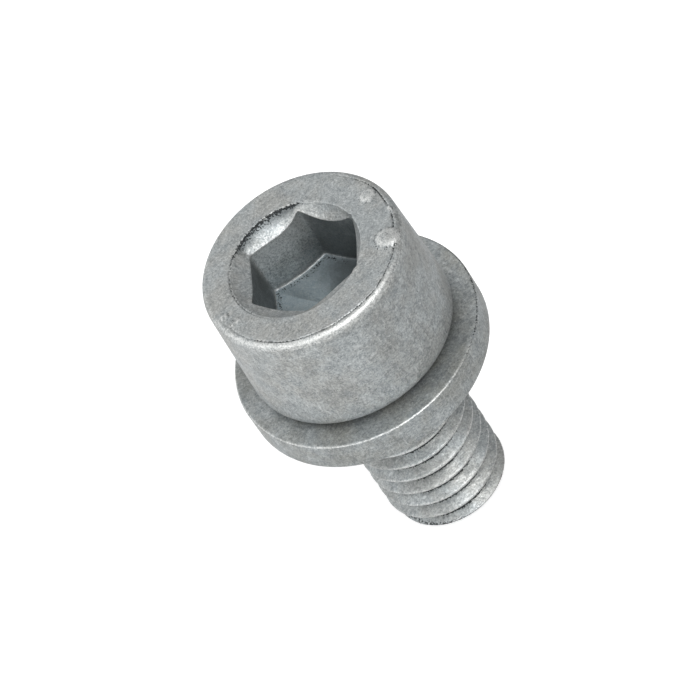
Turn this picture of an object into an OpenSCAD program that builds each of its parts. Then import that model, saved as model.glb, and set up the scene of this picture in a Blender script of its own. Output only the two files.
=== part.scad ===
/* [Head] */
// Widest diameter of the head, at the foot of its side
head_d = 9.9; // [9:0.05:10.5]
// Diameter of the head's side at the top, a little smaller than at the foot
head_top_d = 9.5; // [9:0.05:10]
// Height of the head above its bearing face
head_h = 6; // [5:0.1:7.5]
// Rounding of the head's top edge
top_edge_r = 0.3; // [0.1:0.05:0.5]
// Rounding of the head's lower edge
foot_edge_r = 0.5; // [0.1:0.05:0.8]

/* [Socket] */
// Width across the flats of the hexagon socket
socket_af = 5; // [4:0.05:5.5]
// Depth of the socket from the head's top to the lower ends of its six corners
socket_depth = 3.17; // [2.5:0.01:4]
// Height of the cone that the punch's blunt tip leaves between those corners and the floor
tip_h = 0.43; // [0.2:0.01:0.6]
// Diameter of the floor inside that cone
floor_d = 3.2; // [2.4:0.1:4]
// Depth of the dish in the floor
floor_dish = 0.08; // [0.02:0.01:0.2]
// Diameter of the bevelled mouth at the head's top
mouth_d = 6.3; // [6.2:0.05:6.8]
// Diameter at which the mouth's bevel steepens
bevel_d = 5.7; // [5.5:0.05:5.9]
// Slope of the mouth's outer bevel, in degrees from the top face
outer_slope = 28; // [15:1:35]
// Slope of the mouth's inner bevel, in degrees from the top face
inner_slope = 50; // [40:1:65]
// How far the punch struck the mouth off the screw's axis
mouth_shift = 0.2; // [0:0.05:0.25]
// Direction of that shift, in degrees round the axis
mouth_turn = 130; // [0:5:355]

/* [Thread] */
// Length of the screw under its head
length = 12; // [9:0.5:60]
// Diameter over the thread's crests
thread_d = 5.8; // [5.6:0.05:6]
// Pitch of the thread
pitch = 1; // [0.8:0.05:1.25]
// Depth of the thread, from its crests to its root
thread_depth = 0.6; // [0.4:0.05:0.65]
// Longest thread that is rolled: a longer screw has a plain shank above it
thread_max = 24; // [18:1:30]
// Diameter of the plain neck that the washer turns on
neck_d = 5.2; // [5:0.05:5.3]
// Fillet between the neck and the head
neck_fillet = 0.2; // [0.1:0.05:0.25]
// Length of the run-out between the neck and the full thread
run_out = 0.9; // [0.5:0.05:1.5]
// Diameter of the flat end of the point
point_d = 4.9; // [4.2:0.05:5.2]
// Angle of the point's chamfer, from the screw's axis
point_angle = 45; // [30:1:60]

/* [Washer] */
// Outer diameter of the captive washer
washer_d = 11.7; // [10.5:0.1:14]
// Thickness of the washer
washer_t = 1.6; // [1:0.1:2]
// Running clearance between the washer's bore and the neck, on the radius
bore_clearance = 0.15; // [0.1:0.01:0.2]
// Gap between the head and the washer where the washer rests
washer_gap = 0.25; // [0.1:0.05:1]
// Gap between the washer and the start of the run-out
neck_spare = 0.1; // [0.05:0.05:1]
// Rounding of the washer's two outer edges
washer_edge_r = 0.12; // [0.05:0.01:0.25]
// Rounding that punching leaves at the two ends of the bore
bore_edge_r = 0.2; // [0.16:0.01:0.35]

/* [Hidden] */
$fn = 96;

zinc = [0.63, 0.64, 0.64];
zinc_light = [0.70, 0.70, 0.69];

total_h = length + head_h;
washer_top = length - washer_gap;
washer_foot = washer_top - washer_t;
bore_r = neck_d / 2 + bore_clearance;
neck_foot = min(washer_foot - neck_spare, thread_max);
// Steps in one turn of the thread, in a crest and in a flank, and the step at which the first crest starts
turn_steps = 36;
crest_steps = 4;
flank_steps = 12;
start_step = 28;
bends = [0, crest_steps, crest_steps + flank_steps, turn_steps - flank_steps];
// Bends that start below the flat end
bends_below = 8;
// How far the thread's solid reaches up into the neck, and how far it stays under the neck's surface there
thread_seat = 0.2;
seat_cover = 0.02;
thread_end = neck_foot + thread_seat;
// Steps in each rounded edge of a turned outline
arc_steps = 6;
// What a cutting solid reaches past the face that it opens
overcut = 0.5;
// How far the solid that cuts the mouth reaches inside the flats
mouth_overlap = 0.2;

// Points of a round from one angle to the other, about a centre at radius r and height z
function arc(r, z, rad, from, to) = [
    for (i = [0:arc_steps]) let (turn = from + (to - from) * i / arc_steps)
        [r + rad * cos(turn), z + rad * sin(turn)]
];

// Radius of the thread that many steps round from the start of a crest
function thread_r(steps) = let (
    at = steps - turn_steps * floor(steps / turn_steps),
    fall = at < crest_steps ? 0
        : at < crest_steps + flank_steps ? (at - crest_steps) / flank_steps
        : at < turn_steps - flank_steps ? 1
        : (turn_steps - at) / flank_steps
) thread_d / 2 - thread_depth * fall;

// The same at a height, cut by the point's chamfer and led over to the neck by the run-out
function shank_r(steps, z) = let (
    cut = min(thread_r(steps), point_d / 2 + z * tan(point_angle)),
    run = max(0, min(1, (z - neck_foot + run_out) / run_out))
) cut + (neck_d / 2 - seat_cover - cut) * run * run * (3 - 2 * run);

// Height of a bend of the thread's outline, which climbs one step for each step round
function bend_z(column, bend) = let (
    turn = floor(bend / 4)
) (turn_steps * turn + bends[bend - 4 * turn] + start_step + column) * pitch / turn_steps;

// Thread, run-out and point, as one solid. Each column of points runs up the shank from bend to bend, from
// the last one under the flat end to the first one past the top. These two are drawn in to the solid's ends.
module thread() {
    last_bend = 4 * ceil(thread_end / pitch) + bends_below;
    spans = [for (column = [0:turn_steps - 1]) [
        max([for (bend = [-bends_below:last_bend]) if (bend_z(column, bend) <= 0) bend]),
        min([for (bend = [-bends_below:last_bend]) if (bend_z(column, bend) >= thread_end) bend])
    ]];
    points = [
        for (column = [0:turn_steps - 1])
            for (bend = [spans[column][0]:spans[column][1]]) let (
                z = max(0, min(thread_end, bend_z(column, bend))),
                r = shank_r(z / pitch * turn_steps - column - start_step, z),
                angle = 360 * column / turn_steps
            ) [r * cos(angle), r * sin(angle), z]
    ];
    counts = [for (span = spans) span[1] - span[0] + 1];
    firsts = [
        for (column = 0, first = 0; column < turn_steps; first = first + counts[column], column = column + 1)
            first
    ];
    // Number of a point. After a whole turn, a bend meets the one four further up.
    function at(column, bend) = column == turn_steps ? at(0, bend + 4)
        : firsts[column] + max(0, min(counts[column] - 1, bend - spans[column][0]));
    polyhedron(points = points, faces = [
        for (column = [0:turn_steps - 1])
            for (bend = [-bends_below:last_bend]) let (
                a = at(column, bend),
                b = at(column + 1, bend),
                c = at(column + 1, bend + 1),
                d = at(column, bend + 1)
            ) each concat(b == c ? [] : [[a, c, b]], a == d ? [] : [[a, d, c]]),
        [for (column = [0:turn_steps - 1]) at(column, -bends_below)],
        [for (column = [turn_steps - 1:-1:0]) at(column, last_bend)]
    ]);
}

// Neck and head without the socket, turned about Z
module blank() {
    rotate_extrude()
        polygon(concat(
            [[0, neck_foot], [neck_d / 2, neck_foot]],
            arc(neck_d / 2 + neck_fillet, length - neck_fillet, neck_fillet, 180, 90),
            arc(head_d / 2 - foot_edge_r, length + foot_edge_r, foot_edge_r, -90, 0),
            arc(head_top_d / 2 - top_edge_r, total_h - top_edge_r, top_edge_r, 0, 90),
            [[0, total_h]]
        ));
}

// The socket: a hexagon with two corners on the X axis, ended by the cone and dish of the punch's blunt tip
module socket() {
    corner_r = socket_af / 2 / cos(30);
    floor_z = total_h - socket_depth - tip_h;
    tip_slope = tip_h / (corner_r - floor_d / 2);
    intersection() {
        translate([0, 0, floor_z - overcut])
            cylinder(d = 2 * corner_r, h = total_h - floor_z + 2 * overcut, $fn = 6);
        rotate_extrude()
            polygon([
                [0, floor_z - floor_dish],
                [floor_d / 2, floor_z],
                [corner_r + overcut, total_h - socket_depth + overcut * tip_slope],
                [corner_r + overcut, total_h + overcut],
                [0, total_h + overcut]
            ]);
    }
}

// The mouth: a shallow outer bevel and a steep inner one, which scallops the tops of the flats
module mouth() {
    inner_r = socket_af / 2 - mouth_overlap;
    bevel_z = total_h - (mouth_d - bevel_d) / 2 * tan(outer_slope);
    inner_z = bevel_z - (bevel_d / 2 - inner_r) * tan(inner_slope);
    rotate(mouth_turn)
        translate([mouth_shift, 0, 0])
            rotate_extrude()
                polygon([
                    [0, inner_z],
                    [inner_r, inner_z],
                    [bevel_d / 2, bevel_z],
                    [mouth_d / 2, total_h],
                    [mouth_d / 2, total_h + overcut],
                    [0, total_h + overcut]
                ]);
}

// Socket head cap screw, forged and rolled in one piece
module screw() {
    color(zinc)
        union() {
            thread();
            difference() {
                blank();
                socket();
                mouth();
            }
        }
}

// Plain washer that the thread keeps on the neck
module washer() {
    rim_r = washer_d / 2 - washer_edge_r;
    lip_r = bore_r + bore_edge_r;
    color(zinc_light)
        rotate_extrude()
            polygon(concat(
                arc(lip_r, washer_foot + bore_edge_r, bore_edge_r, 180, 270),
                arc(rim_r, washer_foot + washer_edge_r, washer_edge_r, -90, 0),
                arc(rim_r, washer_top - washer_edge_r, washer_edge_r, 0, 90),
                arc(lip_r, washer_top - bore_edge_r, bore_edge_r, 90, 180)
            ));
}

screw();
washer();
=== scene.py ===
from math import cos, pi, radians, sin, tan

import bmesh
import bpy
import numpy as np
from mathutils import Matrix, Vector


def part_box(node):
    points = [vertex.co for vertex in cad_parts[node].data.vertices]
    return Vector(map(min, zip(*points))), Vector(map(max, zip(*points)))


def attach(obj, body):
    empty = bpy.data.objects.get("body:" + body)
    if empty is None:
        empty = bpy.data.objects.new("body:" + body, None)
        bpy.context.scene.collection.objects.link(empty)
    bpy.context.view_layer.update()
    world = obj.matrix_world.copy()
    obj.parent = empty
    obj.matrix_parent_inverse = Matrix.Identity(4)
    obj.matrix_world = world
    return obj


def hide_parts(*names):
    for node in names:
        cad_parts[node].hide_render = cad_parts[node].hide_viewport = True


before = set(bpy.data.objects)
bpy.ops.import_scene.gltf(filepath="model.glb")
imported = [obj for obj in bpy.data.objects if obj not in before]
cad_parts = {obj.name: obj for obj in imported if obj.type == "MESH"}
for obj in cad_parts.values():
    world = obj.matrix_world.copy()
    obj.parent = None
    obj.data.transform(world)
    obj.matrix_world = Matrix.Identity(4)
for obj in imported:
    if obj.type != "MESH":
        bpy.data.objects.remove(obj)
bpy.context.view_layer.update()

# Camera
# The screw is seen from above its head, 47 degrees up, by a long lens that keeps its sides nearly parallel.
# The camera is turned about its own line of sight, so that the standing screw leans in the picture.
MM = 0.001
aim = Vector((-0.466, 0.068, 11.282)) * MM
view_azimuth = radians(-8.3)
view_elevation = radians(47.231)
view_roll = radians(-34.241)
view_distance = 222.574 * MM
back = Vector((
    cos(view_elevation) * sin(view_azimuth),
    -cos(view_elevation) * cos(view_azimuth),
    sin(view_elevation),
))
camera = bpy.data.objects.new("camera", bpy.data.cameras.new("camera"))
bpy.context.scene.collection.objects.link(camera)
camera.data.sensor_width = 36
camera.data.lens = 257.14
camera.data.clip_start = 0.01
camera.matrix_world = (
    Matrix.Translation(aim + view_distance * back)
    @ back.to_track_quat("Z", "Y").to_matrix().to_4x4()
    @ Matrix.Rotation(view_roll, 4, "Z")
)
bpy.context.scene.camera = camera

# Head, socket and neck
# Cold-forged steel: a cylinder that widens a little towards its foot, with a hexagon punched into it. The
# punch left a bevelled mouth, a little off centre, that scallops the tops of the six flats, and a dished
# floor. The rings of points run from the middle of that floor out over the head and down to the neck.
head_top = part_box("screw")[1].z / MM
length = 12.0
head_r, head_top_r = 4.95, 4.75
top_edge_r, foot_edge_r, neck_fillet = 0.3, 0.5, 0.2
neck_r, neck_foot = 2.6, 10.05
flat_r, socket_corner = 2.5, 0.14
columns = 192  # points round each ring, 32 to each flat
crowding = 1.35
sector = pi / 3
rings = []


def add_ring(r, z, crowd=0.0):
    """A ring of points at radius r and height z. Crowding draws its columns towards the hexagon's corners."""
    rings.append((
        np.broadcast_to(r, columns),
        np.broadcast_to(z, columns),
        even + crowd * (crowded - even),
    ))


def hexagon_radius(angle):
    """How far the socket's hexagon reaches in each direction. Its corners lie at multiples of 60 degrees."""
    off = (angle + sector / 2) % sector - sector / 2
    centre = (flat_r - socket_corner) / cos(sector / 2)
    inside = np.maximum(socket_corner**2 - (centre * np.sin(off)) ** 2, 0)
    tangent = np.arctan2(socket_corner * sin(sector / 2), centre + socket_corner * cos(sector / 2))
    rounded = centre * np.cos(off) + np.sqrt(inside)
    return np.where(np.abs(off) < tangent, rounded, flat_r / np.cos(sector / 2 - np.abs(off)))


even = np.arange(columns) * 2 * pi / columns
from_corner = (even + sector / 2) % sector - sector / 2
share_out = 2 * np.abs(from_corner) / sector
crowded = even - from_corner + np.sign(from_corner) * sector / 2 * share_out**crowding
hexagon = hexagon_radius(crowded)
mid_flat = (hexagon.max() - hexagon) / (hexagon.max() - flat_r)

# Floor: six shallow facets, highest in the corners. It leans a little to one side.
pole_depth = 3.66
corner_foot, flat_foot = 3.17, 3.37
floor_lean, lean_angle = 0.1, radians(35)
foot = corner_foot + (flat_foot - corner_foot) * mid_flat


def floor_rise(step):
    """How far the floor has risen from its middle (0) to the flats (1): nearly straight, then turned up."""
    return 0.72 * step**1.15 + 0.28 * step**9


for step in np.linspace(0, 1, 24) ** 0.75:
    r = hexagon * step
    depth = pole_depth + (foot - pole_depth) * floor_rise(step)
    add_ring(r, head_top - depth - floor_lean * r * np.cos(crowded - lean_angle), 1)
foot_z = rings[-1][1]

# Mouth: a bevel that steepens a little towards its rim, deepest on one side of the socket. Its edge with the
# flats is broken, and it ends just below the top.
mouth_r, mouth_off, mouth_angle = 3.09, 0.25, radians(150)
least_bevel = 0.07
mouth_break, broken_share = 0.04, 0.1
rim_drop = 0.02


def mouth_radius(angle):
    """How far the mouth reaches in each direction."""
    turned = angle - mouth_angle
    reach = mouth_off * np.cos(turned) + np.sqrt(mouth_r**2 - (mouth_off * np.sin(turned)) ** 2)
    return np.maximum(reach, hexagon_radius(angle) + least_bevel)


def mouth_fall(step):
    """Depth of the mouth, as a share of its cut, from the flats (0) out to its rim (1)."""
    return 1 - 0.85 * step - 0.15 * step**3


mouth = mouth_radius(crowded)
# How deep the mouth cuts into the corners and into the middle of the flats
corner_cut = 0.2 + 0.3 * np.maximum(np.cos(crowded - radians(120)), 0) ** 2
flat_cut = 0.51 + 0.21 * np.cos(crowded - radians(74)) + 0.1 * np.sin(2 * crowded + radians(25))
cut = corner_cut + (flat_cut - corner_cut) * mid_flat
for step in np.linspace(0, 1, 15)[1:]:
    add_ring(hexagon, foot_z + (head_top - cut - mouth_break - foot_z) * step, 1)
edge_r = hexagon + (mouth - hexagon) * broken_share
edge_z = head_top - cut * mouth_fall(broken_share)
for step in np.linspace(0, 1, 6)[1:]:
    add_ring(
        hexagon * (1 - step**2) + edge_r * step**2,
        (head_top - cut - mouth_break) * (1 - step) ** 2
        + (head_top - cut) * 2 * step * (1 - step)
        + edge_z * step**2,
        1,
    )
for step in np.linspace(broken_share, 1, 15)[1:]:
    z = head_top - rim_drop - (cut - rim_drop) * mouth_fall(step)
    add_ring(hexagon + (mouth - hexagon) * step, z, 1)

# Grooves: a fine one outside the mouth, on its far side, and an uneven one on the near side, where the die
# closed on the head's rounded edge. Each line says how far out, and how deep.
mouth_groove = ((0.03, 0.045), (0.06, 0.03), (0.08, 0.006), (0.11, 0))
mouth_groove_end = mouth_groove[-1][0]
rim_groove = ((-0.04, 0.01), (-0.015, 0.045), (0.015, 0.045), (0.035, 0.01))
rim_groove_start = 0.07  # how far inside the uneven groove the flat face ends
face_r = head_top_r - top_edge_r


def near_side(angle):
    """1 on the side of the rim where the die's groove is open, 0 on the other."""
    return np.clip(0.6 + 1.5 * np.cos(angle - radians(290)), 0, 1)


def groove_radius(angle):
    """Where the uneven groove runs."""
    return face_r - 0.01 + 0.03 * np.sin(5 * angle + 1) + 0.018 * np.sin(13 * angle)


groove_side = np.clip(0.3 + 1.4 * np.cos(crowded - radians(130)), 0, 1)
for step, drop in mouth_groove:
    add_ring(mouth + step, head_top - drop * groove_side, 1)

# Top face, with plain raised pips by its rim. Each line of the table is one pip: its direction in degrees,
# its distance from the axis, its reach outwards and sideways, its height, and how soft its edge is.
pips = (
    (322.5, 4.1, 0.58, 0.55, 0.2, 0.45),
    (3, 4.02, 0.4, 0.34, 0.12, 0.4),
    (344, 4.44, 0.14, 0.12, 0.09, 0.7),
    (177.5, 4.22, 0.22, 0.17, 0.09, 0.7),
    (187, 4.06, 0.3, 0.14, 0.08, 0.7),
)
beside_pip = 0.02  # a point that a pip lifts by less than this lies beside it


def around_line(distance, width):
    """1 on a line and less beside it."""
    return np.exp(-((distance / width) ** 2))


def pip_rise(angle, r):
    """Height of the pips, and which points lie on a pip's shoulder and round its foot."""
    rise, shoulder, foot = np.zeros((3,) + np.shape(angle))
    for direction, distance, out, side, height, edge in pips:
        aside = angle - radians(direction)
        off = np.hypot((r * np.cos(aside) - distance) / out, r * np.sin(aside) / side)
        here = np.cos(aside) > 0
        rise = np.maximum(rise, height * (np.clip(1 - off**2, 0, 1) * here) ** edge)
        shoulder = np.maximum(shoulder, around_line(off - 0.7, 0.2) * here)
        foot = np.maximum(foot, around_line(off - 1.06, 0.1) * here)
    return rise, shoulder, foot


flat_width = groove_radius(even) - rim_groove_start - mouth - mouth_groove_end
for step in np.linspace(0, 1, 28)[1:]:
    fade = 1 - step
    r = mouth + mouth_groove_end + flat_width * step
    add_ring(r, head_top + pip_rise(even + fade * (crowded - even), r)[0], fade)
for step, drop in rim_groove:
    r = groove_radius(even) + step
    rise = pip_rise(even, r)[0]
    add_ring(r, head_top + rise - drop * near_side(even) * (rise < beside_pip))
edge_start = 0.28  # where the rounded edge leaves the groove, as an angle
for turn in np.linspace(edge_start, pi / 2, 12):
    r = face_r + top_edge_r * sin(turn)
    add_ring(r, head_top - top_edge_r * (1 - cos(turn)) + pip_rise(even, r)[0] * cos(turn) ** 2)

# Side, foot, bearing face and neck
for step in np.linspace(0, 1, 30)[1:-1]:
    add_ring(
        head_top_r + (head_r - head_top_r) * step,
        head_top - top_edge_r + (length + foot_edge_r - head_top + top_edge_r) * step,
    )
for turn in np.linspace(0, pi / 2, 9):
    add_ring(head_r - foot_edge_r * (1 - cos(turn)), length + foot_edge_r * (1 - sin(turn)))
for step in np.linspace(0, 1, 8)[1:]:
    add_ring(head_r - foot_edge_r + (neck_r + neck_fillet - head_r + foot_edge_r) * step, length)
for turn in np.linspace(0, pi / 2, 6)[1:]:
    add_ring(neck_r + neck_fillet * (1 - sin(turn)), length - neck_fillet * (1 - cos(turn)))
for step in np.linspace(0, 1, 6)[1:]:
    add_ring(neck_r, length - neck_fillet + (neck_foot - length + neck_fillet) * step)


def skin(name, closed):
    """A mesh over the rings so far, whose last ring joins the first where it is closed. Clears the rings."""
    points = np.concatenate([
        np.stack([r * np.cos(turn), r * np.sin(turn), z], axis=1) for r, z, turn in rings
    ])
    mesh = bpy.data.meshes.new(name)
    mesh.from_pydata((points * MM).tolist(), [], [
        (
            row * columns + column,
            row * columns + (column + 1) % columns,
            (row + 1) % len(rings) * columns + (column + 1) % columns,
            (row + 1) % len(rings) * columns + column,
        )
        for row in range(len(rings) - 1 + closed)
        for column in range(columns)
    ])
    rings.clear()
    return mesh


head_mesh = skin("head", closed=False)

# Thread and point
# An M6 coarse thread, rolled right-handed with a pitch of 1 mm onto the shank, so its crests are a little
# wider than the neck. It starts at a chamfered point and runs out just below the washer. Its node tree
# bends a flat sheet round the axis and moves each point out to the thread's profile.
thread_sizes = {
    "Pitch": 1.0,
    "Crest Radius": 2.9,
    "Root Radius": 2.3,
    "Crest Flat": 0.1,
    "Crest Round": 0.12,
    "Root Round": 0.06,
    "Neck Radius": neck_r,
    "Neck Foot": neck_foot,
    "Run-out": 0.9,
    "Point Radius": 2.2,
    "Point Round": 0.08,
    "Start": 0.667,
}
rows_a_turn = 28
cap_rows = 8
thread_rows = int(neck_foot / thread_sizes["Pitch"] * rows_a_turn)


def add_node(tree, kind, inputs=(), **settings):
    """Adds a node. Inputs are values or other nodes' outputs, by name or number."""
    made = tree.nodes.new(kind)
    for name, value in settings.items():
        setattr(made, name, value)
    for name, value in dict(inputs).items():
        if isinstance(value, bpy.types.NodeSocket):
            tree.links.new(value, made.inputs[name])
        else:
            made.inputs[name].default_value = value
    return made


thread_tree = bpy.data.node_groups.new("thread", "GeometryNodeTree")
for name in thread_sizes:
    thread_tree.interface.new_socket(name, in_out="INPUT", socket_type="NodeSocketFloat")
thread_tree.interface.new_socket("Material", in_out="INPUT", socket_type="NodeSocketMaterial")
thread_tree.interface.new_socket("Geometry", in_out="OUTPUT", socket_type="NodeSocketGeometry")
size = add_node(thread_tree, "NodeGroupInput").outputs
sheet = add_node(thread_tree, "GeometryNodeMeshGrid", {
    "Size X": 1.0, "Size Y": 1.0, "Vertices X": columns + 1, "Vertices Y": cap_rows + thread_rows + 1,
})
place = add_node(thread_tree, "ShaderNodeSeparateXYZ", {
    0: add_node(thread_tree, "GeometryNodeInputPosition").outputs[0],
}).outputs
found = {"across": place["X"], "down": place["Y"], **size}
# Each line is a Math node: what it gives, its operation and its inputs. The sheet runs from -0.5 to 0.5.
for name, operation, *terms in (
    ("around", "ADD", "across", 0.5),
    ("share", "ADD", "down", 0.5),
    ("row", "MULTIPLY", "share", float(cap_rows + thread_rows)),
    ("row above cap", "SUBTRACT", "row", float(cap_rows)),
    ("wall row", "MAXIMUM", "row above cap", 0.0),
    ("row height", "DIVIDE", "Neck Foot", float(thread_rows)),
    ("height", "MULTIPLY", "wall row", "row height"),
    # How far each point lies from the nearest crest's line, along the axis
    ("turns up", "DIVIDE", "height", "Pitch"),
    ("turns off", "SUBTRACT", "turns up", "around"),
    ("turns", "ADD", "turns off", "Start"),
    ("part turn", "FRACT", "turns"),
    ("off middle", "SUBTRACT", "part turn", 0.5),
    ("off crest", "ABSOLUTE", "off middle"),
    ("from crest", "MULTIPLY", "off crest", "Pitch"),
    # The flanks fall 30 degrees from square, and the crest and the root are rounded
    ("half flat", "MULTIPLY", "Crest Flat", 0.5),
    ("down flank", "SUBTRACT", "from crest", "half flat"),
    ("flank depth", "DIVIDE", "down flank", tan(radians(30))),
    ("flank", "SUBTRACT", "Crest Radius", "flank depth"),
    ("crested", "SMOOTH_MIN", "Crest Radius", "flank", "Crest Round"),
    ("rooted", "SMOOTH_MAX", "Root Radius", "crested", "Root Round"),
    ("point", "ADD", "Point Radius", "height"),
    ("chamfered", "SMOOTH_MIN", "rooted", "point", "Point Round"),
    # The thread runs out into the neck, and the first rows close the flat end of the point
    ("run-out foot", "SUBTRACT", "Neck Foot", "Run-out"),
    ("above foot", "SUBTRACT", "height", "run-out foot"),
    ("run-out share", "DIVIDE", "above foot", "Run-out"),
    ("fade", "MAXIMUM", "run-out share", 0.0),
    ("to neck", "SUBTRACT", "Neck Radius", "chamfered"),
    ("faded", "MULTIPLY_ADD", "fade", "to neck", "chamfered"),
    ("cap share", "DIVIDE", "row", float(cap_rows)),
    ("closing", "MINIMUM", "cap share", 1.0),
    ("radius", "MULTIPLY", "faded", "closing"),
    ("reach", "MULTIPLY", "radius", MM),
    ("turn", "MULTIPLY", "around", 2 * pi),
    ("cosine", "COSINE", "turn"),
    ("sine", "SINE", "turn"),
    ("x", "MULTIPLY", "reach", "cosine"),
    ("y", "MULTIPLY", "reach", "sine"),
    ("z", "MULTIPLY", "height", MM),
):
    inputs = enumerate(found.get(term, term) for term in terms)
    found[name] = add_node(thread_tree, "ShaderNodeMath", inputs, operation=operation).outputs[0]
rolled = add_node(thread_tree, "GeometryNodeSetPosition", {
    "Geometry": sheet.outputs["Mesh"],
    "Position": add_node(thread_tree, "ShaderNodeCombineXYZ", {
        "X": found["x"], "Y": found["y"], "Z": found["z"],
    }).outputs[0],
})
whole = add_node(thread_tree, "GeometryNodeRealizeInstances", {"Geometry": rolled.outputs[0]})
coated = add_node(thread_tree, "GeometryNodeSetMaterial", {
    "Geometry": whole.outputs[0], "Material": size["Material"],
})
add_node(thread_tree, "NodeGroupOutput", {"Geometry": coated.outputs[0]})

# Grey zinc coating
# Zinc flake baked onto the steel: dull mid grey with soft cool and warm blotches and a fine grain that glints
# here and there. Grime and painted shade darken the grooves and the socket, painted highlights lighten edges
# and crests, and the socket's floor is rubbed smoother and painted darker with its shade.


def from_hex(code):
    """A linear colour from an sRGB hex code."""
    parts = [int(code[i : i + 2], 16) / 255 for i in (1, 3, 5)]
    return [p / 12.92 if p <= 0.04045 else ((p + 0.055) / 1.055) ** 2.4 for p in parts] + [1.0]


zinc_patterns = {  # size of a grain in millimetres, detail, roughness
    "cloud": (2.0, 8.0, 0.62),
    "patch": (0.6, 5.0, 0.65),
    "fleck": (0.17, 2.0, 0.5),
    "speck": (0.08, 1.0, 0.5),
    "grain": (0.09, 3.0, 0.8),  # real flakes are 0.02 mm, drawn coarser than that to show
}
zinc_bumps = {"grain": 0.014, "patch": 0.03, "cloud": 0.06}  # how deep in millimetres
scuff_width, scuff_squeeze = 0.12, 0.15
# Each mark on the mesh, with the pattern that breaks up its edges, and how much of it is added to the mark
zinc_marks = {"worn": "grain", "rubbed": "cloud", "thin": "cloud", "grime": "speck"}
mark_break = 1.6
bare_roughness = 0.45
zinc_layers = (  # pattern or mark, where it starts and is full, how strong, colour, roughness
    ("patch", 0.48, 0.66, 0.45, "#7E8487", 0.5),
    ("patch", 0.46, 0.3, 0.34, "#CFD1D0", 0.42),
    ("grain", 0.52, 0.33, 0.6, "#6C7173", 0.55),
    ("grain", 0.53, 0.7, 0.55, "#E0E3E3", 0.36),
    ("fleck", 0.56, 0.7, 0.3, "#D6D9D9", 0.36),
    ("fleck", 0.44, 0.3, 0.35, "#666A6B", 0.55),
    ("scuff", 0.64, 0.74, 0.4, "#E2E4E4", 0.35),
    ("scuff", 0.36, 0.28, 0.35, "#75797B", 0.45),
    # The last four layers paint the marks: wear and painted highlights bright, the rubbed floor darker with
    # painted shade, painted shade dark, and grime with painted shade darkest
    ("worn", 1.1, 1.75, 0.88, "#E4E5E3", 0.38),
    ("rubbed", 1.15, 1.4, 0.7, "#7B8990", 0.36),
    ("thin", 0.9, 1.7, 0.8, "#5A6062", 0.42),
    ("grime", 1.15, 1.35, 0.9, "#2A2D2F", 0.7),
)


def zinc(name, cool, warm):
    """A dull zinc coat, blotched in a cool and a warm grey, and marked where the mesh says with wear, grime,
    painted highlights and painted shade.
    """
    material = bpy.data.materials.new(name)
    material.use_nodes = True
    tree = material.node_tree
    shader = tree.nodes["Principled BSDF"]
    place = add_node(tree, "ShaderNodeTexCoord").outputs["Object"]
    found = {}
    for pattern, (size_mm, detail, roughness) in zinc_patterns.items():
        found[pattern] = add_node(tree, "ShaderNodeTexNoise", {
            "Vector": place, "Scale": 1 / (size_mm * MM), "Detail": detail, "Roughness": roughness,
        }).outputs[0]
    # Scuffs are slanted strokes 0.12 mm wide and 0.8 mm long
    slanted = add_node(tree, "ShaderNodeMapping", {
        "Vector": place, "Rotation": (0.5, 0.4, 0.6), "Scale": (1.0, 1.0, scuff_squeeze),
    }).outputs[0]
    found["scuff"] = add_node(tree, "ShaderNodeTexNoise", {
        "Vector": slanted, "Scale": 1 / (scuff_width * MM), "Detail": 2.0, "Roughness": 0.5,
    }).outputs[0]
    for mark, breaker in zinc_marks.items():
        painted = add_node(tree, "ShaderNodeAttribute", attribute_name=mark).outputs["Fac"]
        found[mark] = add_node(tree, "ShaderNodeMath", {
            0: found[breaker], 1: mark_break, 2: painted,
        }, operation="MULTIPLY_ADD").outputs[0]
    blotch = add_node(tree, "ShaderNodeMapRange", {
        "Value": found["cloud"], "From Min": 0.42, "From Max": 0.58,
    }).outputs[0]
    # A Mix node takes two numbers at 2 and 3, and two colours at 6 and 7
    colour = add_node(tree, "ShaderNodeMix", {
        0: blotch, 6: from_hex(cool), 7: from_hex(warm),
    }, data_type="RGBA").outputs[2]
    gloss = bare_roughness
    for source, start, full, most, code, roughness in zinc_layers:
        share = add_node(tree, "ShaderNodeMapRange", {
            "Value": found[source], "From Min": start, "From Max": full, "To Max": most,
        }).outputs[0]
        colour = add_node(tree, "ShaderNodeMix", {
            0: share, 6: colour, 7: from_hex(code),
        }, data_type="RGBA").outputs[2]
        gloss = add_node(tree, "ShaderNodeMix", {0: share, 2: gloss, 3: roughness}).outputs[0]
    tree.links.new(colour, shader.inputs["Base Color"])
    tree.links.new(gloss, shader.inputs["Roughness"])
    shader.inputs["Metallic"].default_value = 0.8
    normal = add_node(tree, "ShaderNodeNewGeometry").outputs["Normal"]
    for pattern, depth in zinc_bumps.items():
        normal = add_node(tree, "ShaderNodeBump", {
            "Height": found[pattern], "Distance": depth * MM, "Strength": 1.0, "Normal": normal,
        }).outputs[0]
    tree.links.new(normal, shader.inputs["Normal"])
    return material


screw_zinc = zinc("grey zinc coat", "#ABB0B1", "#AFB0AD")

carrier = bpy.data.objects.new("thread", bpy.data.meshes.new("thread"))
bpy.context.scene.collection.objects.link(carrier)
roller = carrier.modifiers.new("thread", "NODES")
roller.node_group = thread_tree
sockets = {
    item.name: item.identifier for item in thread_tree.interface.items_tree if item.in_out == "INPUT"
}
for name, value in thread_sizes.items():
    roller[sockets[name]] = value
roller[sockets["Material"]] = screw_zinc
bpy.context.view_layer.update()
shaped = carrier.evaluated_get(bpy.context.evaluated_depsgraph_get())
thread_mesh = bpy.data.meshes.new_from_object(shaped)
bpy.data.objects.remove(carrier)

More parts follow.
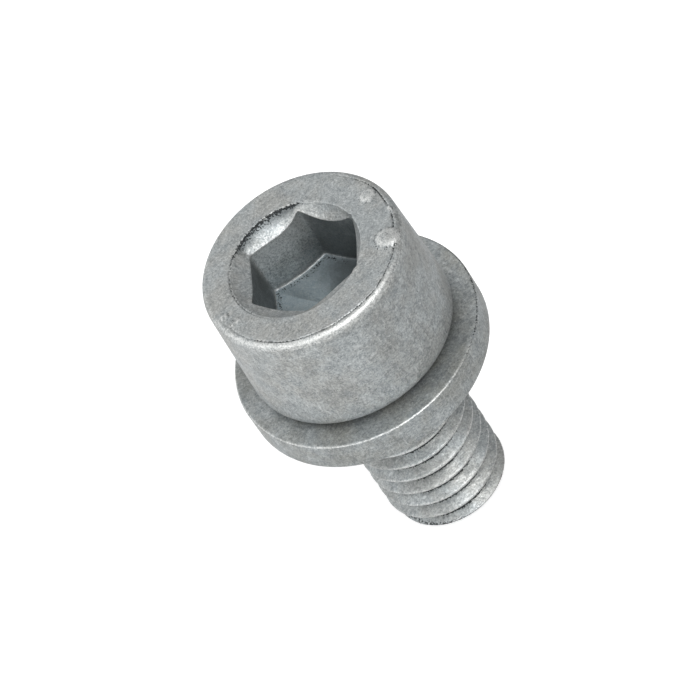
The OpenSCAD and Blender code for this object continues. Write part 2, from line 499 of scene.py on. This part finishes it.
# The head and the thread are one solid, welded at the foot of the neck
joined = bmesh.new()
joined.from_mesh(head_mesh)
joined.from_mesh(thread_mesh)
bmesh.ops.remove_doubles(joined, verts=joined.verts, dist=0.001 * MM)
bmesh.ops.recalc_face_normals(joined, faces=joined.faces)
screw_mesh = bpy.data.meshes.new("screw_body")
joined.to_mesh(screw_mesh)
joined.free()
screw_mesh.materials.append(screw_zinc)
screw_mesh.polygons.foreach_set("use_smooth", [True] * len(screw_mesh.polygons))
screw_mesh.polygons.foreach_set("material_index", [0] * len(screw_mesh.polygons))

# Marks: where wear and painted highlights make the coat bright, where the punch rubbed it smooth and it is
# painted darker with its shade, where grime and painted shade lie, and where painted shade darkens it. Each
# is a sum over the places that bear it, from 0 to 1. The places are told apart by how far below the top they
# reach or start, and on the thread by height and radius.
top_band, wall_band, edge_band, side_band, mouth_band, floor_band = 0.1, 0.3, 0.31, 0.4, 0.9, 3.0
thread_top, first_turn, point_top, crest_start = neck_foot - 0.6, 1.4, 0.35, 2.85


def places(mesh):
    """Where the mesh's points lie, in millimetres."""
    found = np.empty(len(mesh.vertices) * 3)
    mesh.vertices.foreach_get("co", found)
    return found.reshape(-1, 3).T / MM


def facing(degrees):
    """1 for the points in that direction from the axis, 0 for those square to it."""
    return np.cos(angle - radians(degrees))


def up_to_one(values):
    """The values, kept from 0 to 1."""
    return np.clip(values, 0, 1)


def mark(mesh, **marks):
    """Keeps how strong each mark is at each point of the mesh."""
    for name, values in marks.items():
        mesh.attributes.new(name, "FLOAT", "POINT").data.foreach_set("value", up_to_one(values))


x, y, z = places(screw_mesh)
r, angle = np.hypot(x, y), np.arctan2(y, x)
below_top = head_top - z
wall = hexagon_radius(angle)
rim = mouth_radius(angle)
down_mouth = (r - wall) / (rim - wall)
pip_height, pip_shoulder, pip_foot = pip_rise(angle, r)
in_head, on_top, on_thread = z > length, z > head_top - top_band, z < thread_top
on_edge = in_head & (r > face_r) & (z > head_top - edge_band)
on_side = in_head & (r > head_top_r - 0.01) & (z < head_top - side_band)
in_mouth = (z > head_top - mouth_band) & (down_mouth > 0) & (down_mouth < 1)
on_floor = in_head & (z < head_top - floor_band) & (r < wall - 0.03)
in_socket = in_head & (r < wall + 0.01) & (z < head_top - wall_band) & ~on_floor
broad_flat = up_to_one((facing(90) - 0.8) / 0.08)
outer_mouth = up_to_one(3 * down_mouth - 1.6)
far_side = up_to_one((facing(93) - 0.72) / 0.12)
far_side += 0.55 * (1 - far_side) * up_to_one((facing(145) - 0.55) / 0.2)
front_edge = up_to_one(1.8 * facing(245) - 0.2)
worn = sum((
    # Wear and a painted highlight on the head's rounded edge, the highlight most to the front, and painted
    # highlights on the tops and shoulders of the pips
    on_edge * (0.2 + 0.5 * front_edge) * around_line(r - face_r - 0.65 * top_edge_r, 0.17),
    on_top * (0.42 * (pip_height > 0.03) + 0.32 * pip_shoulder),
    # A painted highlight on the mouth next to the flats, and wear on the edge at the head's foot
    in_mouth * up_to_one(1.7 - 3 * down_mouth) * (0.25 + 0.2 * broad_flat),
    0.25 * (in_head & (z < length + foot_edge_r) & (r > head_r - 0.4)),
    # Painted light on the socket's broad flat, and a painted highlight along the line where the floor meets
    # the flats
    in_socket * 0.72 * broad_flat * up_to_one(1.7 - 0.5 * below_top),
    in_head * (z < head_top - floor_band) * 0.5 * around_line(wall - r - 0.08, 0.06),
    # Painted highlights on the thread's crests
    on_thread * 0.55 * up_to_one((r - crest_start) / 0.03),
))
# The socket's floor is rubbed smoother, and painted darker and bluer with the shade and dark reflections it
# has down in the socket
rubbed = 1.0 * on_floor
# Grime and painted shade lie at the foot of each upper flank, three tenths of a pitch and more above the
# crest's line, more on one side and near the point
above_crest = (z / thread_sizes["Pitch"] - angle / (2 * pi) + thread_sizes["Start"]) % 1 - 0.5
packed = 0.55 + 0.5 * up_to_one(1.3 * facing(300)) + 0.25 * (z < first_turn)
rim_grime = around_line(r - groove_radius(angle), 0.035) * (pip_height < beside_pip)
grime = sum((
    # Painted shade in the uneven groove and round the feet of the pips
    on_top * 0.62 * near_side(angle) * rim_grime,
    on_top * 0.4 * pip_foot,
    # Grime and painted shade in the groove outside the mouth, and a painted dark reflection on the outer half
    # of the mouth above the broad flat
    on_top * 0.66 * far_side * around_line(r - rim - 0.03, 0.06),
    in_mouth * 0.42 * broad_flat * outer_mouth,
    # Specks along the floor's outer line
    on_floor * 0.38 * around_line(wall - r - 0.2, 0.14) * up_to_one(2 * facing(110)),
    # Grime and painted shade in the thread's roots, and a dark line round the point
    on_thread * (z > point_top) * packed * around_line(above_crest - 0.365, 0.045),
    on_thread * (r > 2.4) * 0.5 * around_line(z - 0.6, 0.07),
))
by_corner = up_to_one(1.15 - 0.3 * np.maximum(x, 0) - 0.2 * below_top)
thin = sum((
    # Painted shade on the socket's flats, least on the broad one and most in the depth of a corner, and more
    # deep down on one side
    in_socket * (0.7 - 0.72 * broad_flat * by_corner),
    in_socket * 0.22 * up_to_one(facing(20)) * up_to_one(below_top / 2),
    # Painted shade on the mouth above the broad flat, and on the floor to one side
    in_mouth * broad_flat * (0.3 + 0.75 * up_to_one(2.4 * down_mouth - 1)),
    on_floor * 0.85 * up_to_one(1.2 * facing(5)),
    # A little painted shade on one part of the head's side and of the thread
    on_side * 0.24 * up_to_one(1.3 * facing(295)),
    on_thread * 0.32 * up_to_one(2.2 * facing(205) - 1.2),
))
mark(screw_mesh, worn=worn, rubbed=rubbed, grime=grime, thin=thin)
screw = bpy.data.objects.new("screw_body", screw_mesh)
bpy.context.scene.collection.objects.link(screw)
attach(screw, "screw")
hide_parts("screw")

# Washer
# Punched from plate and coated like the screw, then put on before the thread was rolled. Its outer edges are
# crisp, the ends of its bore are rounded by the punch, and it lies loose under the head.
washer_low, washer_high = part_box("washer")
washer_foot, washer_top = washer_low.z / MM, washer_high.z / MM
washer_r = washer_high.x / MM
bore_r, rim_edge_r, bore_edge_r = 2.75, 0.12, 0.2
for turn in np.linspace(0, pi / 2, 6):
    add_ring(bore_r + bore_edge_r * (1 - cos(turn)), washer_top - bore_edge_r * (1 - sin(turn)))
for step in np.linspace(0, 1, 30)[1:-1]:
    add_ring(bore_r + bore_edge_r + (washer_r - rim_edge_r - bore_r - bore_edge_r) * step, washer_top)
for turn in np.linspace(0, pi / 2, 7):
    add_ring(washer_r - rim_edge_r * (1 - sin(turn)), washer_top - rim_edge_r * (1 - cos(turn)))
for step in np.linspace(0, 1, 12)[1:-1]:
    add_ring(washer_r, washer_top - rim_edge_r + (washer_foot - washer_top + 2 * rim_edge_r) * step)
for turn in np.linspace(0, pi / 2, 7):
    add_ring(washer_r - rim_edge_r * (1 - cos(turn)), washer_foot + rim_edge_r * (1 - sin(turn)))
for step in np.linspace(0, 1, 12)[1:-1]:
    add_ring(washer_r - rim_edge_r + (bore_r + bore_edge_r - washer_r + rim_edge_r) * step, washer_foot)
for turn in np.linspace(0, pi / 2, 6):
    add_ring(bore_r + bore_edge_r * (1 - sin(turn)), washer_foot + bore_edge_r * (1 - cos(turn)))
for step in np.linspace(0, 1, 6)[1:-1]:
    add_ring(bore_r, washer_foot + bore_edge_r + (washer_top - washer_foot - 2 * bore_edge_r) * step)
washer_mesh = skin("washer_ring", closed=True)
closed = bmesh.new()
closed.from_mesh(washer_mesh)
bmesh.ops.recalc_face_normals(closed, faces=closed.faces)
closed.to_mesh(washer_mesh)
closed.free()
x, y, z = places(washer_mesh)
r, angle = np.hypot(x, y), np.arctan2(y, x)
from_edge = np.hypot(r - washer_r + 0.3 * rim_edge_r, z - washer_top + 0.3 * rim_edge_r)
beside_edge = around_line(from_edge, 0.045)
to_right = up_to_one(1.5 * facing(10))
to_left = up_to_one(1.6 * facing(165) - 0.6)
on_rim = (r > washer_r - 0.05) & (z < washer_top - 0.05)
# A painted highlight along the washer's top edge, except on the right, where painted shade darkens it;
# painted shade on its side face and on the left of its top
mark(
    washer_mesh,
    worn=0.65 * beside_edge * (1 - to_right),
    grime=0.55 * beside_edge * to_right,
    thin=0.26 * on_rim + 0.34 * (z > washer_top - 0.01) * to_left,
)
washer_mesh.materials.append(zinc("washer zinc coat", "#A4A9AA", "#A8A9A4"))
washer_mesh.polygons.foreach_set("use_smooth", [True] * len(washer_mesh.polygons))
washer = bpy.data.objects.new("washer_ring", washer_mesh)
bpy.context.scene.collection.objects.link(washer)
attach(washer, "washer")
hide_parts("washer")

# Floor and light
# The screw stands on a white sheet in a white tent that falls off to grey on the right, with a soft light
# beside the camera and a weak one on the left.
floor_size = 2.0
floor_mesh = bpy.data.meshes.new("floor")
half = floor_size / 2
floor_mesh.from_pydata(
    [(-half, -half, 0), (half, -half, 0), (half, half, 0), (-half, half, 0)],
    [],
    [(0, 1, 2, 3)],
)
floor = bpy.data.objects.new("floor", floor_mesh)
bpy.context.scene.collection.objects.link(floor)
# Matt white paper, which the camera sees as plain white with the screw's shadow on it. The metal sees it a
# little brighter on the left, as it does the tent.
white_lift, metal_lift = 0.6, 0.28
paper = bpy.data.materials.new("white sheet")
paper.use_nodes = True
paper_tree = paper.node_tree
paper_shader = paper_tree.nodes["Principled BSDF"]
paper_shader.inputs["Base Color"].default_value = from_hex("#CACACA")
paper_shader.inputs["Roughness"].default_value = 0.9
paper_rays = add_node(paper_tree, "ShaderNodeLightPath").outputs
paper_place = add_node(paper_tree, "ShaderNodeSeparateXYZ", {
    0: add_node(paper_tree, "ShaderNodeTexCoord").outputs["Object"],
}).outputs["X"]
paper_fall = add_node(paper_tree, "ShaderNodeMapRange", {
    "Value": paper_place, "From Min": -20 * MM, "From Max": 25 * MM, "To Min": metal_lift, "To Max": 0.0,
}, interpolation_type="SMOOTHSTEP")
paper_glossy = add_node(paper_tree, "ShaderNodeMath", {
    0: paper_fall.outputs[0], 1: paper_rays["Is Glossy Ray"],
}, operation="MULTIPLY")
paper_lift = add_node(paper_tree, "ShaderNodeMath", {
    0: paper_rays["Is Camera Ray"], 1: white_lift, 2: paper_glossy.outputs[0],
}, operation="MULTIPLY_ADD")
paper_shader.inputs["Emission Color"].default_value = (1, 1, 1, 1)
paper_tree.links.new(paper_lift.outputs[0], paper_shader.inputs["Emission Strength"])
floor_mesh.materials.append(paper)

# The tent's cloth is brightest on the left and grey on the right. Behind the screw the camera sees it white.
bright_cloth, grey_cloth = 1.15, 0.35
world = bpy.data.worlds.new("tent")
bpy.context.scene.world = world
world.use_nodes = True
tent = world.node_tree
towards_grey = add_node(tent, "ShaderNodeVectorMath", {
    0: add_node(tent, "ShaderNodeTexCoord").outputs["Generated"],
    1: Vector((0.95, -0.3, 0.0)).normalized(),
}, operation="DOT_PRODUCT").outputs["Value"]
level = add_node(tent, "ShaderNodeMapRange", {
    "Value": towards_grey, "From Min": -0.8, "From Max": 0.8, "To Min": bright_cloth, "To Max": grey_cloth,
}, interpolation_type="SMOOTHSTEP")
rays = add_node(tent, "ShaderNodeLightPath").outputs
strength = add_node(tent, "ShaderNodeMath", {
    0: rays["Is Camera Ray"], 1: level.outputs[0],
}, operation="MAXIMUM")
tent.nodes["Background"].inputs["Color"].default_value = (1, 1, 1, 1)
tent.links.new(strength.outputs[0], tent.nodes["Background"].inputs["Strength"])

light_distance, light_size = 0.5, 0.3


def soft_light(name, direction, power):
    """A soft square light that looks at the screw from that direction."""
    lamp = bpy.data.objects.new(name, bpy.data.lights.new(name, "AREA"))
    lamp.data.shape = "RECTANGLE"
    lamp.data.size = lamp.data.size_y = light_size
    lamp.data.energy = power
    lamp.matrix_world = (
        Matrix.Translation(aim + direction.normalized() * light_distance)
        @ direction.to_track_quat("Z", "Y").to_matrix().to_4x4()
    )
    bpy.context.scene.collection.objects.link(lamp)


soft_light("front light", Vector((0.1, -0.62, 0.75)), 1.65)
soft_light("left light", Vector((-0.85, -0.3, 0.4)), 0.25)

bpy.context.scene.view_settings.view_transform = "Standard"
